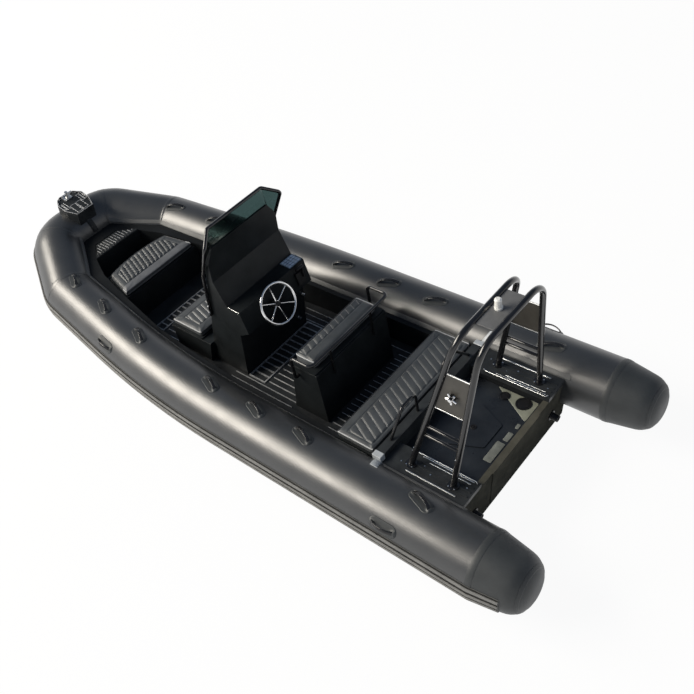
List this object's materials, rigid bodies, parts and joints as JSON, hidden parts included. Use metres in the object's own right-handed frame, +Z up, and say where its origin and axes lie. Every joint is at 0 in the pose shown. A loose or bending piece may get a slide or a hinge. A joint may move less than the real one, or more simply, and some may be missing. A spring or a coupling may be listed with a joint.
{
  "type": "rigid inflatable boat",
  "caption": "Rigid inflatable boat with an aluminium V hull, a charcoal buoyancy tube, a centre console with wheel and windscreen, quilted locker seats and a stern arch.",
  "frame": {"origin": "on the waterline at the foot of the transom's aft face, on the centreline", "axes": "+X forward to the bow, +Y to port, +Z up"},
  "size_m": [6.4043, 2.4366, 2.235],
  "materials": {
    "tube_fabric": "satin coated fabric",
    "cone_fabric": "satin coated fabric",
    "strake_rubber": "ribbed matte",
    "handle_rubber": "satin",
    "hull_paint": "satin black",
    "deck_paint": "satin charcoal",
    "grate_metal": "satin",
    "console_paint": "satin black",
    "frame_paint": "gloss black",
    "screen_glass": "clear, a little green",
    "panel_gloss": "gloss",
    "polished_steel": "polished",
    "cushion_cover": "quilted marine vinyl",
    "plate_paint": "satin grey",
    "cap_paint": "satin pale grey",
    "lamp_lens": "white lens",
    "black_plastic": "matte",
    "light_plastic": "satin"
  },
  "bodies": {
    "hull": {"hull_bottom": "hull_paint", "transom": "hull_paint", "cockpit_floor": "deck_paint", "floor_grates": "grate_metal", "buoyancy_tube": "tube_fabric", "tube_cones": "cone_fabric", "rub_strake": "strake_rubber", "tube_handles": "handle_rubber", "carry_handles": "handle_rubber", "bow_step_plate": "deck_paint", "bow_tie_bracket": "deck_paint", "bow_bollard": "polished_steel", "bow_locker": "deck_paint", "fore_locker": "deck_paint", "console_shell": "console_paint", "windscreen_frame": "frame_paint", "windscreen_glass": "screen_glass", "instrument_panel": "panel_gloss", "helm_hub": "black_plastic", "throttle_box": "black_plastic", "console_seat_box": "console_paint", "helm_seat_box": "console_paint", "helm_seat_rail": "frame_paint", "aft_bench_box": "console_paint", "aft_bulkhead": "deck_paint", "beam_end_caps": "cap_paint", "bench_rails": "frame_paint", "side_platforms": "deck_paint", "splash_well": "deck_paint", "well_hatch": "deck_paint", "deck_plates": "black_plastic", "drain_spouts": "black_plastic", "arch_front_hoop": "frame_paint", "arch_aft_hoop": "frame_paint", "arch_top_plate": "plate_paint", "arch_side_plates": "plate_paint", "arch_rungs": "frame_paint", "arch_fittings": "black_plastic", "all_round_light": "lamp_lens"},
    "wheel": {"steering_wheel": "polished_steel"},
    "bow_lid": {"bow_locker_lid": "deck_paint"},
    "fore_seat_lid": {"fore_lid": "console_paint", "fore_cushion": "cushion_cover"},
    "console_seat_lid": {"console_lid": "console_paint", "console_cushion": "cushion_cover"},
    "helm_seat_lid": {"helm_lid": "console_paint", "helm_cushion": "cushion_cover"},
    "bench_seat_lid": {"bench_lid": "console_paint", "bench_cushion": "cushion_cover"}
  },
  "joints": [
    {"name": "steering_turn", "type": "hinge", "parent": "hull", "child": "wheel", "pos_m": [2.228, 0.07, 0.936], "axis": [-0.9205, 0, 0.3907], "range_deg": [-540, 540]},
    {"name": "bow_lid_hinge", "type": "hinge", "parent": "hull", "child": "bow_lid", "pos_m": [4.928, 0, 0.6505], "axis": [0, 1, 0], "range_deg": [0, 70]},
    {"name": "fore_seat_hinge", "type": "hinge", "parent": "hull", "child": "fore_seat_lid", "pos_m": [4.47, 0, 0.6305], "axis": [0, 1, 0], "range_deg": [0, 80]},
    {"name": "console_seat_hinge", "type": "hinge", "parent": "hull", "child": "console_seat_lid", "pos_m": [3.006, 0, 0.4505], "axis": [0, -1, 0], "range_deg": [0, 85]},
    {"name": "helm_seat_hinge", "type": "hinge", "parent": "hull", "child": "helm_seat_lid", "pos_m": [1.778, 0, 0.7605], "axis": [0, 1, 0], "range_deg": [0, 85]},
    {"name": "bench_seat_hinge", "type": "hinge", "parent": "hull", "child": "bench_seat_lid", "pos_m": [0.77, 0, 0.532], "axis": [0, -1, 0], "range_deg": [0, 80]}
  ]
}
